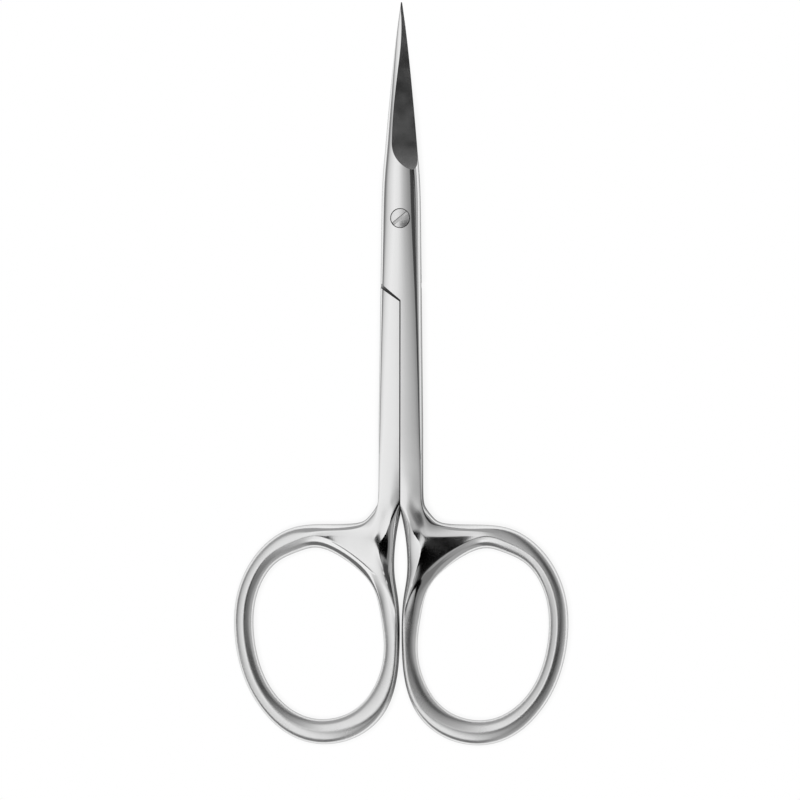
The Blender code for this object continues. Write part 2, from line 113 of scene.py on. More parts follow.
# Finger rings
RING_CENTRE_Y = -56.0 * MM
HOLE_WIDTH = 17.5 * MM
HOLE_LENGTH = 23.0 * MM
HOLE_TOP_FULLNESS = 2.2
HOLE_BOTTOM_FULLNESS = 2.1
RING_LEAN = math.radians(8.5)
RING_THICKNESS = 2.3 * MM
RING_TOP_THICKNESS = 2.8 * MM
RING_ROUNDNESS = 2.0
RING_INNER_WALL = 2.12 * MM
RING_OUTER_WALL = 2.6 * MM
RING_END_WALL = 3.35 * MM
INNER_WALL_SPREAD = 3
OUTER_WALL_SPREAD = 4
CROWN_PLACE = 0.46
MEETING_SIDE = ((0.2 * MM, 0.8), (0.5 * MM, 1.0))
RING_GAP = 0.3 * MM

# Pivot screw and its holes
HEAD_DIAMETER = 2.46 * MM
HEAD_HEIGHT = 0.66 * MM
HEAD_DOME = 0.12 * MM
DOME_STEPS = 10
HEAD_CLEARANCE = 0.11 * MM
SHOULDER_DIAMETER = 1.9 * MM
SHOULDER_CLEARANCE = 0.05 * MM
STEM_DIAMETER = 1.6 * MM
STEM_CLEARANCE = 0.04 * MM
STEM_RECESS = 0.08 * MM
SEAT_CLEARANCE = 0.03 * MM
SLOT_WIDTH = 0.45 * MM
SLOT_DEPTH = 0.36 * MM
SLOT_ANGLE = math.radians(39.0)

# Narrow flat that the pair lies on, taken off the crown of its back
REST_FLAT_DEPTH = 0.04 * MM

# Turns at which the points of a section lie on its rounds, and the two points of a loop that carry a ridge
SIDE_TURNS = (math.radians(25), math.radians(60))
OUTER_TURN = math.radians(45)
HOLE_TURNS = (math.radians(23), math.radians(47), math.radians(71))
RIDGE_PLACES = (2, 10)

# Fineness of the surfaces
SMOOTHING_LEVELS = 3
RING_STEPS = 14
ROUND_SIDES = 96
FIT_ROUNDS = 60
SHARP_ANGLE = math.radians(18.0)
WELD_DISTANCE = 0.001 * MM

# Painted shade in closed-in places, darkening the steel's colour: how far a wall darkens on outsides and in
# the gaps of the lap, how open a place is that is fully dark and not darkened at all, and the dark tone
RECESS_REACH = 0.5 * MM
GAP_REACH = 1.6 * MM
RECESS_OPENNESS = (0.25, 0.7)
RECESS_SHADE_TONE = 0.1
RECESS_SAMPLES = 12

# Fine marks: how far either side of the waist they turn from straight to round, and their detail. Patches in
# which the polish varies: how many to the metre, their detail, and the span of their pattern that counts
MARKS_TURN = 3 * MM
MARKS_DETAIL = 3.0
PATCHES_PER_METRE = 350.0
PATCHES_DETAIL = 2.0
PATCHES_SPAN = (0.3, 0.7)

# Duller polish of the rings: how far from the middle of the web it starts and is full, and how softly it
# ends at their top
WEB_MIDDLE = Vector((4.0 * MM, -44.0 * MM))
DULL_FROM_WEB = (6.0 * MM, 11.0 * MM)
DULL_EDGE = 1.0 * MM

# Finishes: grey tone, roughness and how far it varies, fine marks to the millimetre, how many times longer
# than wide they are and how deep, how far painted shade darkens a wall, and the roughness of the rings where
# it differs
FINISHES = {
    "polished steel": {
        "tone": 0.86, "roughness": 0.09, "spread": 0.02, "per_millimetre": 9.0, "length": 30.0,
        "depth": 0.0006 * MM, "reach": RECESS_REACH, "ring_roughness": 0.26,
    },
    "ground steel": {
        "tone": 0.84, "roughness": 0.22, "spread": 0.05, "per_millimetre": 14.0, "length": 9.0,
        "depth": 0.004 * MM, "reach": RECESS_REACH,
    },
    "ground flats": {
        "tone": 0.74, "roughness": 0.3, "spread": 0.04, "per_millimetre": 18.0, "length": 10.0,
        "depth": 0.0015 * MM, "reach": GAP_REACH,
    },
    "turned steel": {
        "tone": 0.84, "roughness": 0.26, "spread": 0.04, "per_millimetre": 5.0, "length": 1.0,
        "depth": 0.004 * MM, "reach": RECESS_REACH,
    },
}

# Table: half its width, its matt tone, and the shadow close around what lies on it, as the camera sees it and
# as the steel mirrors it, each as (reach, openness from deepest to clear, tones from deepest to clear)
TABLE_REACH = 3.0
TABLE_TONE = 0.8
SEEN_SHADOW = (1.2 * MM, (0.0, 0.9), (0.75, 1.0))
MIRRORED_SHADOW = (8 * MM, (0.5, 1.0), (0.15, 1.0))
SHADOW_SAMPLES = 8

# Camera: what it sees, and its aim from the pivot
CAMERA_DISTANCE = 0.75
CAMERA_LEAN = math.radians(6.0)
CAMERA_ROLL = math.radians(0.07)
CAMERA_REACH = 10.0
SENSOR_WIDTH = 36.0
VIEW_WIDTH = 107.44 * MM
AIM_ACROSS = -0.0067 * MM
AIM_ALONG = -24.43 * MM

# Light tent, in degrees from overhead: across is towards the right, along is towards the tips. Its tones go
# by the angle across. A window on it is given as (from, to, softness of its start, softness of its end).
TENT_RADIUS = 0.6
TENT_SIDES = 64
TENT_TONES = (
    (-90, 0.3), (-80, 0.2), (-70, 0.22), (-50, 0.6), (-40, 0.72), (-28, 0.83),
    (-16, 0.95), (-8, 0.89), (-3, 0.64), (0, 0.53), (6, 0.42), (12, 0.34),
    (20, 0.29), (30, 0.28), (50, 0.30), (62, 0.42), (80, 0.5), (90, 0.5),
)

# Dark flag on the right: its window across, and its tones along
FLAG_ACROSS = (22.0, 47.0, 2.0, 2.0)
FLAG_TONES = ((-1.5, 0.2), (1.0, 0.05), (3.0, 0.06), (30.0, 0.07), (50.0, 0.1))

# Black cards that the webs mirror: window across, window along, tone
CARDS = (
    ((-6.2, 33.0, 1.6, 6.0), (-24.0, -4.0, 6.0, 1.6), 0.0),
    ((26.0, 60.0, 6.0, 6.0), (9.0, 20.0, 3.0, 6.0), 0.02),
)

# Dim ends of the tent past the tips and past the rings, the latter from left to right, and a light line on
# the left before it
FAR_EDGE = 42.0
FAR_TONE = 0.36
NEAR_EDGE = -52.0
NEAR_TONES = (0.16, 0.38)
NEAR_TONES_ACROSS = (0.0, 20.0)
EDGE_SOFTNESS = 3.0
NEAR_LINE = (-52.0, -42.0, 2.0, 5.0)
NEAR_LINE_ACROSS = 4.0
NEAR_LINE_TONE = 1.0

HALF_THICKNESS = PAIR_THICKNESS / 2
CUT_REACH = 2 * PAIR_THICKNESS


def mix(first, second, share):
    """Value that lies the given share of the way from first to second."""
    return first + (second - first) * share


def spaced(first, last, steps):
    """Values from first to last in even steps, with both ends."""
    return [mix(first, last, step / steps) for step in range(steps + 1)]


# Outline of the closed pair


def bar_half_width(y):
    """Half the width of the closed pair across blades, joint and shanks."""
    if y > BLADE_ROOT_Y:
        share = (BLADE_LENGTH - y) / (BLADE_LENGTH - BLADE_ROOT_Y)
        return max(TIP_HALF_WIDTH, JOINT_WIDTH / 2 * max(share, 0.0) ** BLADE_TAPER)
    share = min(1.0, (BLADE_ROOT_Y - y) / (BLADE_ROOT_Y - FADE_START_Y))
    return mix(JOINT_WIDTH, SHANK_WIDTH, share) / 2


def bar_half_thickness(y):
    """Half the thickness of the closed pair, thinning in a long curve to the tips."""
    if y < BLADE_FULL_Y:
        return HALF_THICKNESS
    share = min(1.0, (y - BLADE_FULL_Y) / (BLADE_LENGTH - BLADE_FULL_Y))
    return mix(TIP_HALF_THICKNESS, HALF_THICKNESS, (1 + math.cos(math.pi * share)) / 2)


def bar_roundness(y):
    """Roundness of the bar's section, from the full crown of blades and joint to the flatter shanks."""
    if y > FADE_START_Y:
        return mix(JOINT_ROUNDNESS, SHANK_ROUNDNESS, max(0.0, y / FADE_START_Y))
    share = (FADE_START_Y - y) / (FADE_START_Y - fan_start())
    return mix(SHANK_ROUNDNESS, SHANK_END_ROUNDNESS, share)


def inner_edge(y):
    """Side of the upper half that faces the other one: in to the waist of the gap, and out to the ring."""
    if y > FADE_START_Y:
        return -bar_half_width(y)
    if y > WAIST_Y:
        share = (FADE_START_Y - y) / (FADE_START_Y - WAIST_Y)
        return mix(-bar_half_width(y), WAIST_HALF_GAP, math.sin(math.pi / 2 * share) ** FADE_SHAPE)
    share = min(1.0, (WAIST_Y - y) / (WAIST_Y - MEETING_Y))
    return mix(WAIST_HALF_GAP, RING_GAP / 2, (1 - math.cos(math.pi * share)) / 2)


# Finger ring of the upper half


def ring_axes():
    """Unit directions across and along the leaning ring."""
    across = Vector((math.cos(RING_LEAN), -math.sin(RING_LEAN)))
    along = Vector((math.sin(RING_LEAN), math.cos(RING_LEAN)))
    return across, along


def hole_reach(direction, fullness):
    """How far the leaning hole reaches from its centre along a unit direction."""
    across, along = ring_axes()
    power = fullness / (fullness - 1)
    wide = abs(HOLE_WIDTH / 2 * across.dot(direction)) ** power
    long = abs(HOLE_LENGTH / 2 * along.dot(direction)) ** power
    return (wide + long) ** (1 / power)


def ring_centre():
    """Centre of the hole, so far out that the two rings just miss each other."""
    reach = hole_reach(Vector((-1, 0)), HOLE_BOTTOM_FULLNESS)
    return Vector((RING_GAP / 2 + RING_INNER_WALL + reach, RING_CENTRE_Y))


def ring_line(turn):
    """Point on the rim of the hole, the way out through the wall there, and the wall's width."""
    across, along = ring_axes()
    fullness = HOLE_TOP_FULLNESS if math.sin(turn) > 0 else HOLE_BOTTOM_FULLNESS
    wide = math.copysign(abs(math.cos(turn)) ** (2 / fullness), math.cos(turn))
    long = math.copysign(abs(math.sin(turn)) ** (2 / fullness), math.sin(turn))
    rim = ring_centre() + across * HOLE_WIDTH / 2 * wide + along * HOLE_LENGTH / 2 * long
    steep_wide = math.copysign(abs(wide) ** (fullness - 1), wide) / HOLE_WIDTH
    steep_long = math.copysign(abs(long) ** (fullness - 1), long) / HOLE_LENGTH
    way = (across * steep_wide + along * steep_long).normalized()
    if way.x > 0:
        return rim, way, mix(RING_OUTER_WALL, RING_END_WALL, abs(way.y) ** OUTER_WALL_SPREAD)
    return rim, way, mix(RING_END_WALL, RING_INNER_WALL, (1 - way.y ** 2) ** INNER_WALL_SPREAD)


def web_end():
    """How far down the inner edge the web between shank and ring reaches."""
    return mix(WAIST_Y, MEETING_Y, WEB_END)


def ring_outside(turn):
    """Point on the outside of the ring, which runs level into the fillet and along the inner edge."""
    rim, way, wall = ring_line(turn)
    flat = rim + way * wall
    if way.x < 0 and way.y > LEVEL_FROM:
        flat.y = ring_top()
    if way.x < 0 < way.y and flat.y < web_end():
        flat.x = min(flat.x, inner_edge(flat.y))
    return flat


def ring_top():
    """Highest y on the outside of the ring."""
    return RING_CENTRE_Y + hole_reach(Vector((0, 1)), HOLE_TOP_FULLNESS) + RING_END_WALL


def ring_bottom():
    """Lowest y on the outside of the ring."""
    return RING_CENTRE_Y - hole_reach(Vector((0, -1)), HOLE_BOTTOM_FULLNESS) - RING_END_WALL


def pivot_place():
    """Place of the pivot at mid thickness, with the pair centred over the origin and lying on z = 0."""
    return Vector((0, -(BLADE_LENGTH + ring_bottom()) / 2, HALF_THICKNESS - REST_FLAT_DEPTH))


# Cage of one half: loops of twelve points that the smooth surface passes through


def round_side(length, roundness, turns):
    """Places on a side that rounds off over a length, as (distance in from the edge, share of height)."""
    power = 2 / roundness
    return [(length * (1 - math.cos(turn) ** power), math.sin(turn) ** power) for turn in turns]


def mix_places(first, last, share):
    """Places part of the way from the first ones to the last ones."""
    return [(mix(near[0], far[0], share), mix(near[1], far[1], share)) for near, far in zip(first, last)]


def section_loop(mesh, left, right, height, left_side, crown, right_side):
    """Loop of a bar from its left edge over the front to the right edge and round the back.

    The places on the left side and the crown are measured in from the left edge, the others from the right.
    """
    way = (right - left).normalized()
    front = [(left, 0)]
    front += [(left + way * distance, up) for distance, up in left_side + [crown]]
    front += [(right - way * distance, up) for distance, up in right_side[::-1]]
    loop = [mesh.verts.new((flat.x, flat.y, up * height)) for flat, up in front + [(right, 0)]]
    return loop + [mesh.verts.new((flat.x, flat.y, -up * height)) for flat, up in front[:0:-1]]


def ring_loop(mesh, turn):
    """Loop of the ring from its outside over the front to the hole and round the back."""
    rim, way, _ = ring_line(turn)
    outside = ring_outside(turn)
    width = (outside - rim).length
    crown_in = width * CROWN_PLACE
    outer_side = round_side(crown_in, RING_ROUNDNESS, [OUTER_TURN]) + [(crown_in, 1)]
    outer_side = mix_places(outer_side, MEETING_SIDE, max(0, -way.x) ** 2)
    near, middle, far = round_side(width - outer_side[-1][0], RING_ROUNDNESS, HOLE_TURNS)
    height = mix(RING_THICKNESS, RING_TOP_THICKNESS, max(0, way.y) ** 2) / 2
    return section_loop(mesh, outside, rim, height, outer_side, (width - far[0], far[1]), [near, middle])


def web_loop(mesh, turn):
    """Loop of the web from its crown to the hole, with no outside of its own, as the shank joins there."""
    rim, way, _ = ring_line(turn)
    front = [(rim + way * distance, up * RING_THICKNESS / 2) for distance, up in WEB_HOLE_SIDE]
    loop = [mesh.verts.new((flat.x, flat.y, up)) for flat, up in front + [(rim, 0)]]
    loop += [mesh.verts.new((flat.x, flat.y, -up)) for flat, up in front[::-1]]
    return [None, None] + loop + [None]


def skin(mesh, first, second):
    """Faces between two loops, left open beside a missing point."""
    count = len(first)
    for i in range(count):
        corners = (first[i], first[(i + 1) % count], second[(i + 1) % count], second[i])
        if None not in corners:
            mesh.faces.new(corners)


def cap(mesh, loop, centre):
    """Faces round a centre point that close a loop, each over two of its edges."""
    middle = mesh.verts.new(centre)
    for i in range(0, len(loop), 2):
        mesh.faces.new((loop[i], loop[i + 1], loop[(i + 2) % len(loop)], middle))


def fan_start():
    """Where the flank of the shank begins its fillet, and the web begins to fan out."""
    return ring_top() + FILLET_RADIUS


def bar_stations():
    """Places along the bar that hold its loops, from the tip to where the flank begins its fillet."""
    blade = [BLADE_LENGTH * share for share in BLADE_STATIONS]
    joint = spaced(JOINT_TOP_Y, FADE_START_Y, JOINT_STEPS)
    fade = spaced(FADE_START_Y, fan_start(), FADE_STEPS)
    return blade + joint + fade[1:]


def fillet_point(turn):
    """Point on the round between the flank of the shank and the top of the ring."""
    centre = Vector((SHANK_WIDTH / 2 + FILLET_RADIUS, fan_start()))
    return centre - Vector((math.cos(turn), math.sin(turn))) * FILLET_RADIUS


def half_cage(mesh):
    """Cage of the whole upper half, with the full width of the closed pair along blade and shank."""
    loops = []
    for y in bar_stations():
        left = Vector((inner_edge(y), y))
        right = Vector((bar_half_width(y), y))
        middle = (right.x - left.x) / 2
        side = round_side(middle, bar_roundness(y), SIDE_TURNS)
        loops.append(section_loop(mesh, left, right, bar_half_thickness(y), side, (middle, 1), side))
    for step, (gap_side, flank_side) in enumerate(zip(WEB_GAP_SIDES, WEB_FLANK_SIDES), 1):
        share = step / len(WEB_GAP_SIDES)
        y = mix(fan_start(), web_end(), share)
        left = Vector((inner_edge(y), y))
        right = fillet_point(FILLET_END * share)
        height = mix(PAIR_THICKNESS, RING_TOP_THICKNESS, share) / 2
        *gap_places, crown = gap_side
        loops.append(section_loop(mesh, left, right, height, gap_places, crown, list(flank_side)))
    cap(mesh, loops[0], (0, BLADE_LENGTH, 0))
    for first, second in zip(loops, loops[1:]):
        skin(mesh, first, second)

    ring = [ring_loop(mesh, turn) for turn in spaced(WEB_TOP_TURN, WEB_SIDE_TURN - 2 * math.pi, RING_STEPS)]
    web = web_loop(mesh, WEB_MIDDLE_TURN)
    for first, second in zip(ring, ring[1:]):
        skin(mesh, first, second)
    skin(mesh, ring[-1], web)
    skin(mesh, web, ring[0])
    top, side = ring[0], ring[-1]
    mouth = side[0:3] + web[2:3] + top[2::-1] + top[:-3:-1] + web[-2:-1] + side[-2:]
    skin(mesh, loops[-1], mouth)

    crease = mesh.edges.layers.float.new("crease_edge")
    for place in RIDGE_PLACES:
        ridge = [loop[place] for loop in loops[-len(WEB_GAP_SIDES):]] + [mouth[place]]
        for first, second in zip(ridge, ridge[1:]):
            mesh.edges.get((first, second))[crease] = 1


def smooth_place(vert, crease):
    """Where the smooth surface over the cage, or a ridge in it, settles for one of the cage's points."""
    ridge = [edge.other_vert(vert).co for edge in vert.link_edges if edge[crease]]
    if len(ridge) == 2:
        return (vert.co * 4 + ridge[0] + ridge[1]) / 6
    count = len(vert.link_edges)
    beside = Vector()
    for edge in vert.link_edges:
        beside += edge.other_vert(vert).co
    across = Vector()
    for corner in vert.link_loops:
        across += corner.link_loop_next.link_loop_next.vert.co
    return (vert.co * count * count + 4 * beside + across) / (count * (count + 5))


def pass_through_points(mesh):
    """Push the cage out until the smooth surface passes through the points it was given."""
    crease = mesh.edges.layers.float["crease_edge"]
    wanted = [vert.co.copy() for vert in mesh.verts]
    for _ in range(FIT_ROUNDS):
        shifts = [goal - smooth_place(vert, crease) for vert, goal in zip(mesh.verts, wanted)]
        for vert, shift in zip(mesh.verts, shifts):
            vert.co += shift


# Solids and cutters


def new_mesh(name, mesh, materials):
    """Mesh object from an edit mesh, with its faces pointing out."""
    bmesh.ops.recalc_face_normals(mesh, faces=mesh.faces)
    data = bpy.data.meshes.new(name)
    mesh.to_mesh(data)
    mesh.free()
    for material in materials:
        data.materials.append(material)
    obj = bpy.data.objects.new(name, data)
    bpy.context.scene.collection.objects.link(obj)
    return obj


def prism(name, outline, low, high, material):
    """Upright prism over a flat outline."""
    mesh = bmesh.new()
    floor = [mesh.verts.new((point[0], point[1], low)) for point in outline]
    roof = [mesh.verts.new((point[0], point[1], high)) for point in outline]
    mesh.faces.new(floor)
    mesh.faces.new(roof)
    skin(mesh, floor, roof)
    return new_mesh(name, mesh, [material])


def rectangle(reach, low, high):
    """Outline of a rectangle that reaches as far to the left as to the right."""
    return [(-reach, low), (reach, low), (reach, high), (-reach, high)]


def round_cutter(name, radius, low, material):
    """Upright cylinder on the pivot axis, open to the top."""
    turns = [2 * math.pi * step / ROUND_SIDES for step in range(ROUND_SIDES)]
    outline = [(radius * math.cos(turn), radius * math.sin(turn)) for turn in turns]
    return prism(name, outline, low, CUT_REACH, material)


def lap_cutter(name, material):
    """Space of the other half's blade and lap, below the mating face of the upper half."""
    far = SHANK_WIDTH
    inside = -LAP_LENGTH - STEP_GAP_INSIDE
    slope = (STEP_RISE + STEP_GAP_INSIDE - STEP_GAP_OUTSIDE) / STEP_RUN
    outline = [
        (SPLIT_GAP / 2, inside),
        (far, inside + slope * (far - SPLIT_GAP / 2)),
        (far, BLADE_LENGTH + far),
        (-far, BLADE_LENGTH + far),
        (-far, inside - STEP_RISE),
    ]
    return prism(name, outline, -CUT_REACH, BLADE_GAP / 2, material)


def split_cutter(name, material):
    """Space of the other half's shank, beside the split and below the end of the upper half's lap."""
    far = SHANK_WIDTH
    outline = [
        (SPLIT_GAP / 2, -LAP_LENGTH),
        (-far, -LAP_LENGTH + STEP_RISE / STEP_RUN * (far + SPLIT_GAP / 2)),
        (-far, WAIST_Y),
        (SPLIT_GAP / 2, WAIST_Y),
    ]
    return prism(name, outline, -CUT_REACH, CUT_REACH, material)


def grind_height(x, y):
    """Height of the ground facet, flat from the edge and hollowed up at the heel by the wheel."""
    edge = bar_half_width(y)
    flat = BLADE_GAP / 2 + GRIND_EDGE_LAND + (edge - x) * math.tan(GRIND_ANGLE)
    past_heel = max(0.0, GRIND_HEEL_Y - y)
    return flat + past_heel ** 2 / (2 * GRIND_WHEEL_RADIUS)


def grind_cutter(name, material):
    """Steel that the wheel takes off the outside of the upper blade."""
    mesh = bmesh.new()
    run_out = math.sqrt(2 * GRIND_WHEEL_RADIUS * PAIR_THICKNESS)
    heel = [GRIND_HEEL_Y - run_out * (1 - step / GRIND_HEEL_STEPS) for step in range(GRIND_HEEL_STEPS)]
    blade = spaced(GRIND_HEEL_Y, BLADE_LENGTH, GRIND_BLADE_STEPS)
    loops = []
    for y in heel + blade + [BLADE_LENGTH + TIP_HALF_WIDTH]:
        loop = []
        for x in (JOINT_WIDTH, -JOINT_WIDTH):
            loop.append(mesh.verts.new((x, y, grind_height(x, y))))
        for x in (-JOINT_WIDTH, JOINT_WIDTH):
            loop.append(mesh.verts.new((x, y, 2 * CUT_REACH)))
        loops.append(loop)
    for first, second in zip(loops, loops[1:]):
        skin(mesh, first, second)
    mesh.faces.new(loops[0])
    mesh.faces.new(loops[-1])
    return new_mesh(name, mesh, [material])


def cut(obj, cutter):
    """Take the cutter's shape out of an object, and give the fresh faces the cutter's finish."""
    step = obj.modifiers.new(cutter.name, "BOOLEAN")
    step.operation = "DIFFERENCE"
    step.object = cutter
    step.material_mode = "TRANSFER"


def crisp_edge_group():
    """Modifier that shades the surface smooth over shallow edges and keeps the others crisp."""
    group = bpy.data.node_groups.new("crisp edges", "GeometryNodeTree")
    group.interface.new_socket("Geometry", in_out="INPUT", socket_type="NodeSocketGeometry")
    group.interface.new_socket("Geometry", in_out="OUTPUT", socket_type="NodeSocketGeometry")
    nodes = group.nodes
    angle = nodes.new("GeometryNodeInputMeshEdgeAngle")
    shallow = nodes.new("FunctionNodeCompare")
    shallow.operation = "LESS_THAN"
    shallow.inputs["B"].default_value = SHARP_ANGLE
    faces = nodes.new("GeometryNodeSetShadeSmooth")
    edges = nodes.new("GeometryNodeSetShadeSmooth")
    edges.domain = "EDGE"
    start = nodes.new("NodeGroupInput")
    end = nodes.new("NodeGroupOutput")
    group.links.new(start.outputs[0], faces.inputs["Geometry"])
    group.links.new(faces.outputs["Geometry"], edges.inputs["Geometry"])
    group.links.new(angle.outputs["Unsigned Angle"], shallow.inputs["A"])
    group.links.new(shallow.outputs["Result"], edges.inputs["Shade Smooth"])
    group.links.new(edges.outputs["Geometry"], end.inputs[0])
    return group


def finished(obj, tools, crisp):
    """Object with its cuts and edges made final and its shape set down at the pivot."""
    obj.modifiers.new("crisp edges", "NODES").node_group = crisp
    depsgraph = bpy.context.evaluated_depsgraph_get()
    data = bpy.data.meshes.new_from_object(obj.evaluated_get(depsgraph))
    data.transform(Matrix.Translation(pivot_place()))
    obj.modifiers.clear()
    obj.data = data
    for tool in tools:
        bpy.data.objects.remove(tool, do_unlink=True)
    mark_finish_borders(data)
    return obj


def mark_finish_borders(data):
    """Keep the edge crisp wherever two finishes of one mesh meet."""
    mesh = bmesh.new()
    mesh.from_mesh(data)
    for edge in mesh.edges:
        if len({face.material_index for face in edge.link_faces}) > 1:
            edge.smooth = False
    mesh.to_mesh(data)
    mesh.free()


def half(name, turned_over, polished, ground, flats, crisp):
    """One polished half with its lap, split, ground blade facet and hole for the screw."""
    mesh = bmesh.new()
    half_cage(mesh)
    pass_through_points(mesh)
    obj = new_mesh(name, mesh, [polished])
    smooth = obj.modifiers.new("smooth surface", "SUBSURF")
    smooth.levels = SMOOTHING_LEVELS
    smooth.render_levels = SMOOTHING_LEVELS
    smooth.use_limit_surface = True
    tools = [
        lap_cutter(name + "_lap_cutter", flats),
        split_cutter(name + "_split_cutter", flats),
        grind_cutter(name + "_grind_cutter", ground),
    ]
    if turned_over:
        for shape in [obj] + tools:
            shape.data.transform(Matrix.Rotation(math.pi, 4, "Y"))
        rounds = [("_bore_cutter", STEM_DIAMETER / 2 + STEM_CLEARANCE, -CUT_REACH)]
    else:
        rounds = [
            ("_head_cutter", HEAD_DIAMETER / 2 + HEAD_CLEARANCE, head_seat() - SEAT_CLEARANCE),
            ("_bore_cutter", SHOULDER_DIAMETER / 2 + SHOULDER_CLEARANCE, -CUT_REACH),
        ]
    for label, radius, low in rounds:
        tools.append(round_cutter(name + label, radius, low, flats))
    outline = rectangle(HOLE_WIDTH + SHANK_WIDTH + RING_OUTER_WALL, 2 * RING_CENTRE_Y, 2 * BLADE_LENGTH)
    flat_top = -HALF_THICKNESS + REST_FLAT_DEPTH
    tools.append(prism(name + "_rest_cutter", outline, -CUT_REACH, flat_top, polished))
    for tool in tools:
        cut(obj, tool)
    return finished(obj, tools, crisp)


# Screw


def head_seat():
    """Height of the underside of the screw's head."""
    return HALF_THICKNESS - HEAD_DOME - HEAD_HEIGHT


def screw_profile():
    """Points of the turned screw as (radius, height), from the top of the dome to the end of the stem."""
    head = HEAD_DIAMETER / 2
    rim = HALF_THICKNESS - HEAD_DOME
    edge_break = HEAD_DOME / 2
    shoulder_end = -BLADE_GAP / 2 + SEAT_CLEARANCE
    stem_end = -HALF_THICKNESS + REST_FLAT_DEPTH + STEM_RECESS
    shares = [step / DOME_STEPS for step in range(DOME_STEPS)]
    dome = [(head * share, rim + HEAD_DOME * (1 - share ** 2)) for share in shares]
    return dome + [
        (head, rim),
        (head, head_seat() + edge_break),
        (head - edge_break, head_seat()),
        (SHOULDER_DIAMETER / 2, head_seat()),
        (SHOULDER_DIAMETER / 2, shoulder_end),
        (STEM_DIAMETER / 2, shoulder_end),
        (STEM_DIAMETER / 2, stem_end + edge_break),
        (STEM_DIAMETER / 2 - edge_break, stem_end),
        (0, stem_end),
    ]


def pivot_screw(turned, crisp):
    """Slotted screw with a domed head, a shoulder that carries the upper half, and a stem."""
    mesh = bmesh.new()
    points = [mesh.verts.new((radius, 0, height)) for radius, height in screw_profile()]
    line = [mesh.edges.new(pair) for pair in zip(points, points[1:])]
    bmesh.ops.spin(
        mesh, geom=points + line, axis=(0, 0, 1), angle=2 * math.pi, steps=ROUND_SIDES, use_merge=True
    )
    bmesh.ops.remove_doubles(mesh, verts=mesh.verts, dist=WELD_DISTANCE)
    screw = new_mesh("turned_screw", mesh, [turned])
    outline = rectangle(HEAD_DIAMETER, -SLOT_WIDTH / 2, SLOT_WIDTH / 2)
    slot = prism("slot_cutter", outline, HALF_THICKNESS - SLOT_DEPTH, CUT_REACH, turned)
    slot.data.transform(Matrix.Rotation(SLOT_ANGLE, 4, "Z"))
    cut(screw, slot)
    return finished(screw, [slot], crisp)


# Shader nodes

# Sockets of a mix node that take and give colours
COLOUR_UNDER, COLOUR_OVER, COLOUR_OUT = 6, 7, 2


def grey(tone):
    """Colour of a plain grey tone."""
    return tone, tone, tone, 1.0


def feed(tree, socket, value):
    """Feed an input from another node's socket or with a plain value."""
    if isinstance(value, bpy.types.NodeSocket):
        tree.links.new(value, socket)
    else:
        socket.default_value = value


def fill(tree, node, **values):
    """Feed a node's inputs by their names, with spaces written as underscores."""
    for key, value in values.items():
        feed(tree, node.inputs[key.replace("_", " ")], value)
    return node


def add(tree, kind, **values):
    """New node with its inputs fed by their names."""
    return fill(tree, tree.nodes.new(kind), **values)


def math_node(tree, operation, *values):
    """Result of a math node over sockets or plain numbers."""
    node = tree.nodes.new("ShaderNodeMath")
    node.operation = operation
    for socket, value in zip(node.inputs, values):
        feed(tree, socket, value)
    return node.outputs[0]


def map_range(tree, value, span, results=(0.0, 1.0)):
    """Result that runs evenly from the first to the last one along a span of the value."""
    low, high = span
    first, last = results
    node = add(tree, "ShaderNodeMapRange", From_Min=low, From_Max=high, To_Min=first, To_Max=last)
    tree.links.new(value, node.inputs["Value"])
    return node.outputs["Result"]


def smooth_step(tree, value, low, high):
    """Share of the way from low to high, eased at both ends."""
    node = add(tree, "ShaderNodeMapRange", From_Min=low, From_Max=high)
    node.interpolation_type = "SMOOTHSTEP"
    tree.links.new(value, node.inputs["Value"])
    return node.outputs["Result"]


def window_of(tree, value, low, high, soft_low, soft_high):
    """Mask that is one between two angles, with its own softness at each end."""
    rise = smooth_step(tree, value, low - soft_low / 2, low + soft_low / 2)
    fall = smooth_step(tree, value, high + soft_high / 2, high - soft_high / 2)
    return math_node(tree, "MULTIPLY", rise, fall)


def length_of(tree, across, along):
    """Length of the way that goes so far across and so far along."""
    squares = [math_node(tree, "MULTIPLY", part, part) for part in (across, along)]
    return math_node(tree, "SQRT", math_node(tree, "ADD", *squares))


def blended(tree, share, first, second):
    """Value that lies the given share of the way from first to second."""
    return add(tree, "ShaderNodeMix", Factor=share, A=first, B=second).outputs["Result"]


def laid_over(tree, under, mask, over):
    """Colour with another one laid over it through a mask."""
    node = add(tree, "ShaderNodeMix", Factor=mask)
    node.data_type = "RGBA"
    feed(tree, node.inputs[COLOUR_UNDER], under)
    feed(tree, node.inputs[COLOUR_OVER], over)
    return node.outputs[COLOUR_OUT]


def object_place(tree):
    """Place on the object, as a whole and as its x, y and z."""
    whole = tree.nodes.new("ShaderNodeTexCoord").outputs["Object"]
    split = add(tree, "ShaderNodeSeparateXYZ", Vector=whole)
    return [whole, *split.outputs]


def openness(tree, reach, samples):
    """How open a place is to what lies within reach of it."""
    node = add(tree, "ShaderNodeAmbientOcclusion", Distance=reach)
    node.samples = samples
    return node.outputs["AO"]


def new_group(name, inputs, outputs):
    """Shader node group over numbers, with its ends."""
    tree = bpy.data.node_groups.new(name, "ShaderNodeTree")
    for way, labels in (("INPUT", inputs), ("OUTPUT", outputs)):
        for label in labels:
            tree.interface.new_socket(label, in_out=way, socket_type="NodeSocketFloat")
    return tree, tree.nodes.new("NodeGroupInput"), tree.nodes.new("NodeGroupOutput")


def use_group(tree, group, **values):
    """Outputs of a node group set into a material."""
    node = tree.nodes.new("ShaderNodeGroup")
    node.node_tree = group
    return fill(tree, node, **values).outputs


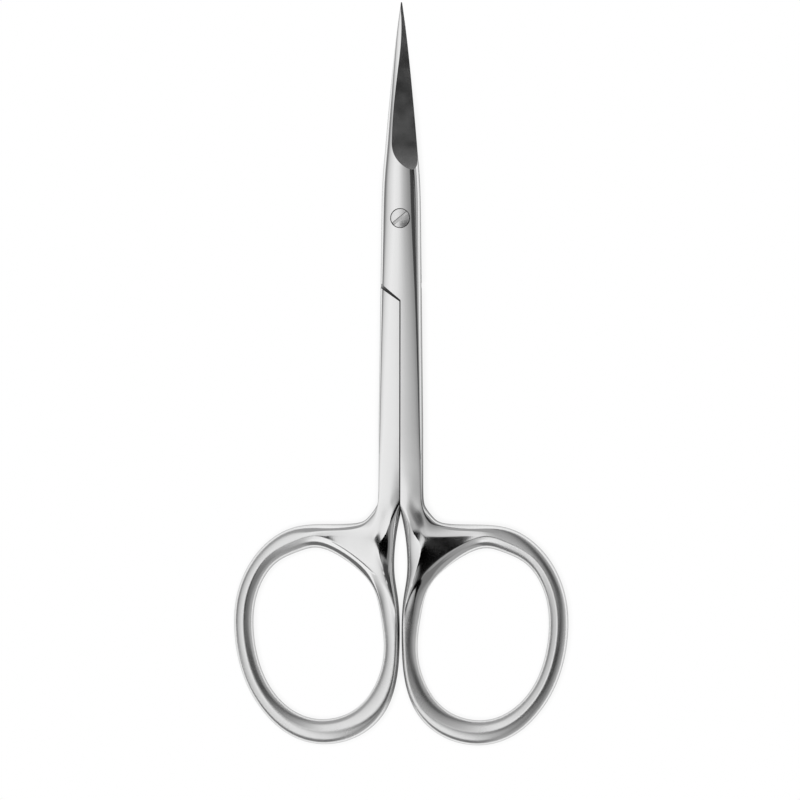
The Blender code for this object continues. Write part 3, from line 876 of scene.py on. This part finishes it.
def bare_material(name):
    """Material with nothing in its node tree but the way out."""
    material = bpy.data.materials.new(name)
    material.use_nodes = True
    tree = material.node_tree
    tree.nodes.clear()
    return material, tree, tree.nodes.new("ShaderNodeOutputMaterial")


# Finishes


def polishing_marks_group():
    """Fine marks that follow the form, along blades and shanks and round the rings, and patches of polish."""
    tree, start, end = new_group("polishing marks", ["Marks Per Millimetre", "Length"], ["Height", "Patches"])
    place, x, y, z = object_place(tree)
    middle = ring_centre() + Vector(pivot_place()[:2])
    side = math_node(tree, "SUBTRACT", math_node(tree, "ABSOLUTE", x), middle.x)
    down = math_node(tree, "SUBTRACT", y, middle.y)
    round_way = math_node(tree, "MULTIPLY", math_node(tree, "ARCTAN2", down, side), HOLE_LENGTH / 2)
    heights = []
    for across, along in ((x, y), (length_of(tree, side, down), round_way)):
        across, along, through = (math_node(tree, "MULTIPLY", way, 1 / MM) for way in (across, along, z))
        stretched = math_node(tree, "DIVIDE", along, start.outputs["Length"])
        point = add(tree, "ShaderNodeCombineXYZ", X=across, Y=stretched, Z=through).outputs[0]
        scale = start.outputs["Marks Per Millimetre"]
        noise = add(tree, "ShaderNodeTexNoise", Vector=point, Scale=scale, Detail=MARKS_DETAIL)
        heights.append(noise.outputs["Fac"])
    waist = WAIST_Y + pivot_place().y
    in_ring = map_range(tree, y, (waist + MARKS_TURN, waist - MARKS_TURN))
    patches = add(tree, "ShaderNodeTexNoise", Vector=place, Scale=PATCHES_PER_METRE, Detail=PATCHES_DETAIL)
    fill(tree, end, Height=blended(tree, in_ring, *heights), Patches=patches.outputs["Fac"])
    return tree


def ring_finish_group():
    """Mask of the rings, which are left a little duller than the mirror polish of shank and web."""
    tree, _, end = new_group("ring finish", [], ["Mask"])
    _, x, y, _ = object_place(tree)
    across = math_node(tree, "SUBTRACT", math_node(tree, "ABSOLUTE", x), WEB_MIDDLE.x)
    along = math_node(tree, "SUBTRACT", y, WEB_MIDDLE.y + pivot_place().y)
    away = smooth_step(tree, length_of(tree, across, along), *DULL_FROM_WEB)
    top = ring_top() + pivot_place().y
    in_ring = smooth_step(tree, y, top + DULL_EDGE, top - DULL_EDGE)
    fill(tree, end, Mask=math_node(tree, "MULTIPLY", away, in_ring))
    return tree


def recess_shade_group():
    """Mask of painted shade in narrow gaps and corners: the more closed in a place is, the darker its colour
    is painted.
    """
    tree, start, end = new_group("recesses", ["Reach"], ["Mask"])
    dark, clean = RECESS_OPENNESS
    open_share = openness(tree, start.outputs["Reach"], RECESS_SAMPLES)
    # Painted shade: closed-in places get a mask that darkens the base colour
    fill(tree, end, Mask=map_range(tree, open_share, (clean, dark)))
    return tree


def steel(name, groups, tone, roughness, spread, per_millimetre, length, depth, reach, ring_roughness=None):
    """Bare stainless steel with polishing or grinding marks, and painted shade that darkens its colour in
    closed-in places.
    """
    marks, recesses, ring_finish = groups
    material = bpy.data.materials.new(name)
    material.use_nodes = True
    tree = material.node_tree
    painted_recess_shade = use_group(tree, recesses, Reach=reach)["Mask"]
    texture = use_group(tree, marks, Marks_Per_Millimetre=per_millimetre, Length=length)
    rough = map_range(tree, texture["Patches"], PATCHES_SPAN, (roughness - spread, roughness + spread))
    if ring_roughness is not None:
        in_ring = use_group(tree, ring_finish)["Mask"]
        rough = math_node(tree, "MULTIPLY_ADD", in_ring, ring_roughness - roughness, rough)
    bump = add(tree, "ShaderNodeBump", Strength=1.0, Distance=depth, Height=texture["Height"])
    # Painted shade: the base colour goes toward a dark grey where the place is closed in, standing in for
    # shadow in gaps, slot and counterbore
    colour = laid_over(tree, grey(tone), painted_recess_shade, grey(RECESS_SHADE_TONE))
    shader = tree.nodes["Principled BSDF"]
    fill(tree, shader, Metallic=1.0, Base_Color=colour, Roughness=rough, Normal=bump.outputs["Normal"])
    return material


# Table, light tent and camera


def white_table():
    """White table that keeps a soft shadow close around what lies on it."""
    material, tree, out = bare_material("white table")
    path = tree.nodes.new("ShaderNodeLightPath").outputs
    seen = math_node(tree, "MAXIMUM", path["Is Camera Ray"], path["Is Glossy Ray"])
    seen = math_node(tree, "MAXIMUM", seen, path["Is Transmission Ray"])
    shadows = [
        map_range(tree, openness(tree, reach, SHADOW_SAMPLES), span, tones)
        for reach, span, tones in (MIRRORED_SHADOW, SEEN_SHADOW)
    ]
    glow = add(tree, "ShaderNodeEmission", Color=blended(tree, path["Is Camera Ray"], *shadows))
    matt = add(tree, "ShaderNodeBsdfDiffuse", Color=grey(TABLE_TONE))
    choice = tree.nodes.new("ShaderNodeMixShader")
    for socket, value in zip(choice.inputs, (seen, matt.outputs[0], glow.outputs[0])):
        tree.links.new(value, socket)
    fill(tree, out, Surface=choice.outputs[0])
    mesh = bmesh.new()
    bmesh.ops.create_grid(mesh, x_segments=1, y_segments=1, size=TABLE_REACH)
    table = new_mesh("white_table", mesh, [material])


def tone_ramp(tree, angle, tones):
    """Grey tone that changes over half a turn of an angle, from rows of degrees and tone."""
    share = math_node(tree, "MULTIPLY_ADD", angle, 1 / 180, 0.5)
    ramp = add(tree, "ShaderNodeValToRGB", Fac=share)
    marks = ramp.color_ramp.elements
    for mark, (_, tone) in zip(marks, (tones[0], tones[-1])):
        mark.color = grey(tone)
    for degrees, tone in tones:
        marks.new(degrees / 180 + 0.5).color = grey(tone)
    return ramp.outputs["Color"]


def light_tent():
    """Half-sphere of soft light with dim ends, a light line, a dark flag and two black cards."""
    material, tree, out = bare_material("light tent")
    _, x, y, z = object_place(tree)
    across, along = (math_node(tree, "DEGREES", math_node(tree, "ARCTAN2", way, z)) for way in (x, y))
    soft = EDGE_SOFTNESS / 2
    tone = tone_ramp(tree, across, TENT_TONES)
    far = smooth_step(tree, along, FAR_EDGE - soft, FAR_EDGE + soft)
    tone = laid_over(tree, tone, far, grey(FAR_TONE))
    tone = laid_over(tree, tone, window_of(tree, across, *FLAG_ACROSS), tone_ramp(tree, along, FLAG_TONES))
    left = smooth_step(tree, across, NEAR_LINE_ACROSS, -NEAR_LINE_ACROSS)
    line = math_node(tree, "MULTIPLY", left, window_of(tree, along, *NEAR_LINE))
    tone = laid_over(tree, tone, line, grey(NEAR_LINE_TONE))
    for card_across, card_along, card_tone in CARDS:
        sides = window_of(tree, across, *card_across), window_of(tree, along, *card_along)
        tone = laid_over(tree, tone, math_node(tree, "MULTIPLY", *sides), grey(card_tone))
    right = smooth_step(tree, across, *NEAR_TONES_ACROSS)
    near_left, near_right = NEAR_TONES
    near_tone = math_node(tree, "MULTIPLY_ADD", right, near_right - near_left, near_left)
    near = smooth_step(tree, along, NEAR_EDGE + soft, NEAR_EDGE - soft)
    tone = laid_over(tree, tone, near, near_tone)
    fill(tree, out, Surface=add(tree, "ShaderNodeEmission", Color=tone).outputs[0])
    mesh = bmesh.new()
    bmesh.ops.create_uvsphere(mesh, u_segments=TENT_SIDES, v_segments=TENT_SIDES // 2, radius=TENT_RADIUS)
    low = [vert for vert in mesh.verts if vert.co.z < -MM]
    bmesh.ops.delete(mesh, geom=low, context="VERTS")
    tent = new_mesh("light_tent", mesh, [material])
    tent.visible_camera = False
    tent.visible_shadow = False


def white_world():
    """White surroundings behind the tent."""
    world = bpy.data.worlds.new("white surroundings")
    bpy.context.scene.world = world
    world.use_nodes = True
    fill(world.node_tree, world.node_tree.nodes["Background"], Color=grey(1.0), Strength=1.0)


def camera():
    """Long lens high above the table, leaning a little to the right."""
    data = bpy.data.cameras.new("camera")
    data.sensor_width = SENSOR_WIDTH
    data.lens = SENSOR_WIDTH * CAMERA_DISTANCE / VIEW_WIDTH
    data.clip_end = CAMERA_REACH
    obj = bpy.data.objects.new("camera", data)
    turn = Matrix.Rotation(CAMERA_LEAN, 4, "Y") @ Matrix.Rotation(CAMERA_ROLL, 4, "Z")
    right, up, back = (turn @ Vector(way) for way in ((1, 0, 0), (0, 1, 0), (0, 0, 1)))
    crown = pivot_place() + Vector((0, 0, HALF_THICKNESS))
    aim = crown + right * AIM_ACROSS + up * AIM_ALONG
    obj.matrix_world = Matrix.Translation(aim + back * CAMERA_DISTANCE) @ turn
    bpy.context.scene.collection.objects.link(obj)
    bpy.context.scene.camera = obj


def main():
    """Dress the frame, then set the table, the light and the camera."""
    groups = polishing_marks_group(), recess_shade_group(), ring_finish_group()
    polished, ground, flats, turned = (steel(name, groups, **finish) for name, finish in FINISHES.items())
    crisp = crisp_edge_group()
    upper = half("polished_upper_half", False, polished, ground, flats, crisp)
    lower = half("polished_lower_half", True, polished, ground, flats, crisp)
    screw = pivot_screw(turned, crisp)
    for piece, body, node, slot in (
        (upper, "upper", "upper_half", "polished_steel"),
        (lower, "lower", "lower_half", "polished_steel"),
        (screw, "lower", "pivot_screw", "screw_steel"),
    ):
        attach(piece, body)
        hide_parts(node)
    white_table()
    light_tent()
    white_world()
    camera()
    bpy.context.scene.view_settings.view_transform = "Standard"
    bpy.context.view_layer.update()


main()
